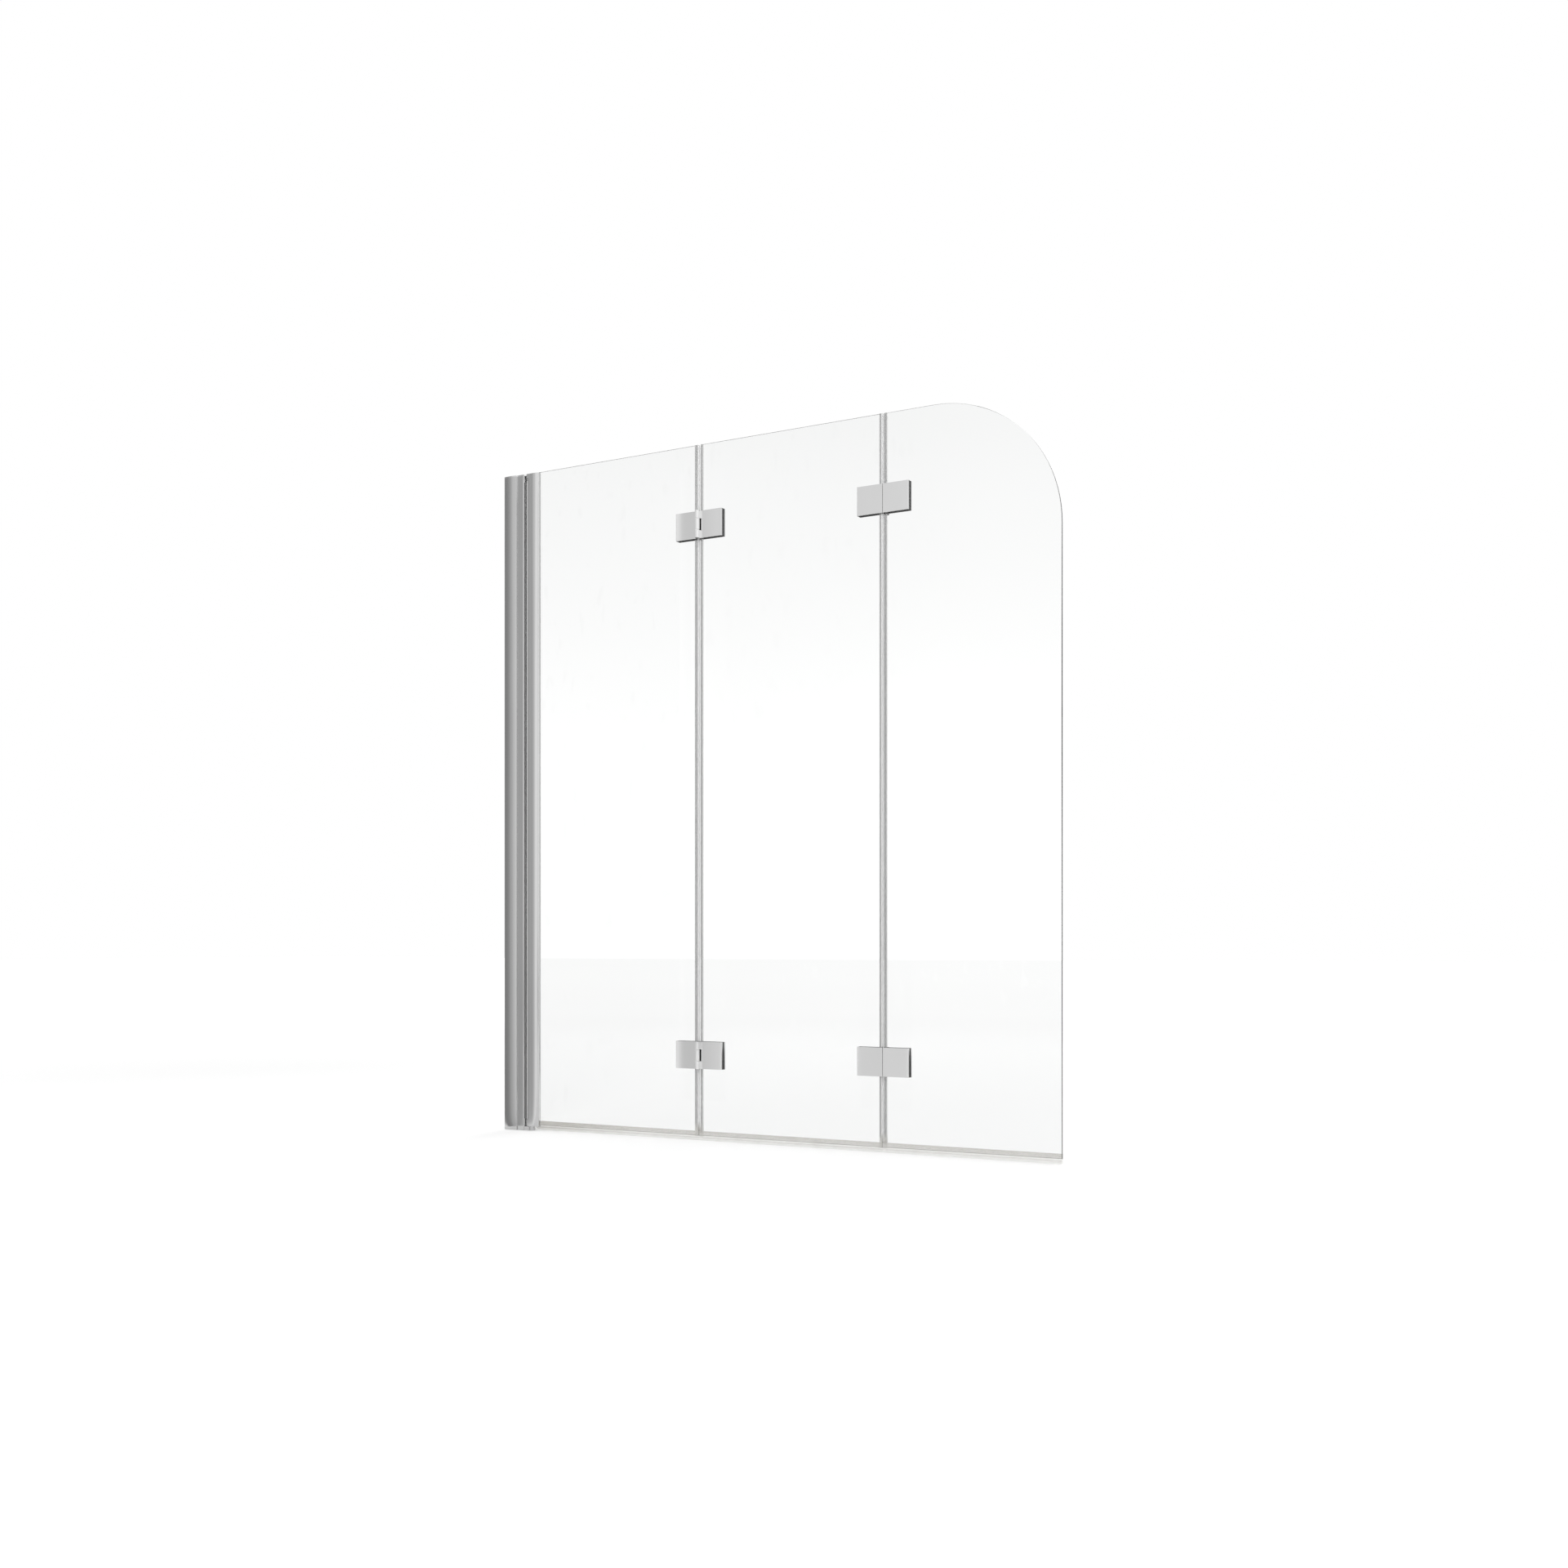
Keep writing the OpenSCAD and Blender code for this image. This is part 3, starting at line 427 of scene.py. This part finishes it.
def near_card(name, x0, x1, z0, z1, low, stops):
    """A strip that only the plates of a near hinge reflect. low is the level of its lower half."""
    corners = [(x0, NEAR_Y, z0), (x1, NEAR_Y, z0), (x1, NEAR_Y, z1), (x0, NEAR_Y, z1)]
    card = flat_sheet(name, corners)
    material, t = new_material(name)
    at = t.parts(t.coords()["Object"])
    tone = t.ramp(t.rescale(at["X"], x0, x1), stops)
    level = t.spread(t.maths("GREATER_THAN", at["Z"], (z0 + z1) / 2), low, 1.0)
    card.data.materials.append(material)
    gloss_card(card, t, t.blend(level, grey(0.0), tone))


def arc_card(name, start, end, rings, tones, other_tones=None):
    """A card round the screen from azimuth start to end, measured from -Y towards -X.

    rings are (radius, height, share, level). tones are (azimuth, value) stops. A ring
    takes its share from them and the rest from other_tones, and level scales the result.
    """
    corners, faces = [], []
    for i in range(ARC_STEPS + 1):
        a = math.radians(start + (end - start) * i / ARC_STEPS)
        corners += [(CARDS_X - r * math.sin(a), -r * math.cos(a), z) for r, z, _, _ in rings]
    count = len(rings)
    for i in range(ARC_STEPS):
        for j in range(count - 1):
            k = i * count + j
            faces.append((k, k + 1, k + count + 1, k + count))
    card = staged_mesh(name, corners, faces)
    names = ("turn", "share", "level")
    turns, shares, levels = [
        card.data.attributes.new(n, "FLOAT", "POINT").data for n in names
    ]
    for i in range(len(corners)):
        turns[i].value = (i // count) / ARC_STEPS
        shares[i].value, levels[i].value = rings[i % count][2:]
    material, t = new_material(name)
    turn, share, level = [
        t.add("ShaderNodeAttribute", attribute_name=n).outputs["Fac"] for n in names
    ]
    other, main = [
        t.ramp(turn, [((a - start) / (end - start), value) for a, value in stops])
        for stops in (other_tones or tones, tones)
    ]
    gloss_card(card, t, t.blend(level, grey(0.0), t.blend(share, other, main)))
    card.data.materials.append(material)


# The left side, mirrored by the round profiles: its upper part has tones of its own
arc_card(
    "side_card", 14, 124,
    [(20, 9, 0, 1), (20, 6.5, 0, 1), (20, 4, 1, 1), (20, 0.004, 1, 0.96), (0.06, 0.004, 1, 0.92)],
    [(14, 1.0), (21, 1.0), (23.3, 0.86), (25.7, 0.8), (29.1, 0.64), (31.5, 0.56), (33, 0.53),
     (37.7, 0.52), (38.1, 0.46), (40.4, 0.4), (43, 0.362), (45.3, 0.33), (48, 0.295), (53, 0.27),
     (56, 0.25), (58, 0.5), (61, 0.9), (66, 1.0), (77, 1.0), (90, 0.8), (96, 0.7), (115, 0.5),
     (124, 0.5)],
    [(14, 1.0), (19.5, 1.0), (22.5, 0.74), (25, 0.73), (28, 0.7), (31, 0.67), (33, 0.62),
     (36, 0.5), (38, 0.45), (43, 0.37), (48, 0.3), (53, 0.27), (56, 0.25), (58, 0.5), (61, 0.9),
     (66, 1.0), (77, 1.0), (90, 0.8), (96, 0.7), (115, 0.5), (124, 0.5)],
)
# Beyond the free edge, mirrored by the far sides of the profiles and plates
arc_card(
    "end_card", 193, 230,
    [(20, 9, 1, 1), (20, 0.004, 1, 1), (5, 0.004, 1, 1)],
    [(193, 0.22), (212.5, 0.22), (215, 0.5), (217, 0.78), (226, 0.8), (230, 1.0)],
)
arc_card(
    "end_floor_card", 218.6, 234,
    [(5.3, 0.006, 0, 1), (4.2, 0.006, 1, 1), (1.8, 0.006, 1, 1), (1.3, 0.006, 0, 1)],
    [(218.6, 0.12), (227, 0.12), (234, 1.0)],
    [(218.6, 1.0), (234, 1.0)],
)
# Behind the screen, so the metal is grey from the bath side too
arc_card(
    "rear_card", 112, 193,
    [(21, 12, 1, 1), (21, 0.004, 1, 0.95), (1, 0.003, 1, 0.95)],
    [(112, 1.0), (126, 0.76), (150, 0.68), (180, 0.74), (193, 0.8)],
)
# In front of the hinges, so their flat plates have the right greys
near_card(
    "hinge_1_card", 0.2435, 0.3627, 0.05, 1.45, 0.93,
    [(0, 1.0), (0.037, 0.97), (0.065, 0.86), (0.093, 0.78), (0.124, 0.7), (0.18, 0.64),
     (0.5, 0.64), (0.52, 0.66), (0.9, 0.74), (1, 0.74)],
)
near_card(
    "hinge_2_card", 0.6957, 0.8148, 0.05, 0.5, 1.0,
    [(0, 0.71), (0.5, 0.7), (0.52, 0.73), (1, 0.73)],
)
# Dark marks for the edges of the metal
arc_card("back_card", 138, 164, [(20, 2.6, 1, 1), (20, 0.3, 1, 1)], [(138, 0.06), (164, 0.06)])
low_dark_card("low_card", -3.4, -0.1, 2.9, 5.8, 0.008, 0.5, 0.02)


# ---- Light ----

# Tone of the background seen through glass, over the height of the direction
THROUGH_TONES = [
    (0.0, 1.0), (0.11, 1.0), (0.153, 0.972), (0.19, 0.946), (0.226, 0.925), (0.262, 0.908),
    (0.296, 0.884), (0.5, 0.85), (1.0, 0.85),
]
THROUGH_GAIN = 1.05
WORLD_LIGHT = 0.6
LAMP_TARGET = Vector((0.6, 0, 0.7))


def white_world():
    """White where the camera or a reflection sees it, toned through glass, and grey as light."""
    world = bpy.data.worlds.new("studio")
    scene.world = world
    t = Tree(world)
    ray = t.ray()
    through = t.ramp(t.parts(t.coords()["Generated"])["Z"], THROUGH_TONES)
    through = t.maths("MULTIPLY", through, THROUGH_GAIN)
    mirrored = t.maths("SUBTRACT", ray["Is Glossy Ray"], ray["Is Transmission Ray"], clamp=True)
    seen = t.maths("MAXIMUM", ray["Is Camera Ray"], mirrored)
    through = t.maths("MULTIPLY", ray["Is Transmission Ray"], through)
    strength = t.maths("MAXIMUM", t.maths("MAXIMUM", seen, through), WORLD_LIGHT)
    inputs = {"Color": grey(1.0), "Strength": strength}
    t.finish(t.add("ShaderNodeBackground", inputs).outputs[0], "ShaderNodeOutputWorld")


def soft_lamp(name, place, size, watts):
    data = bpy.data.lights.new(name, "AREA")
    data.shape, data.size, data.size_y, data.energy = "RECTANGLE", size[0], size[1], watts
    lamp = bpy.data.objects.new(name, data)
    scene.collection.objects.link(lamp)
    lamp.location = place
    lamp.rotation_euler = (LAMP_TARGET - Vector(place)).to_track_quat("-Z", "Y").to_euler()
    lamp.visible_glossy = lamp.visible_transmission = lamp.visible_camera = False


white_world()
soft_lamp("front_lamp", (-1.6, -3.4, 2.8), (2.4, 2.4), 80)
soft_lamp("side_lamp", (3.4, -1.4, 2.2), (2.0, 2.4), 40)
soft_lamp("back_lamp", (0.2, 3.2, 2.8), (2.4, 2.4), 40)


# ---- Camera ----

camera = bpy.data.objects.new("camera", bpy.data.cameras.new("camera"))
scene.collection.objects.link(camera)
camera.location = (2.283, -2.868, 0.393)
camera.rotation_euler = (math.radians(90), 0, math.radians(29.22))
camera.data.lens, camera.data.sensor_width = 38.55, 36
camera.data.shift_y = 0.1033
scene.camera = camera

scene.view_settings.view_transform = "Standard"
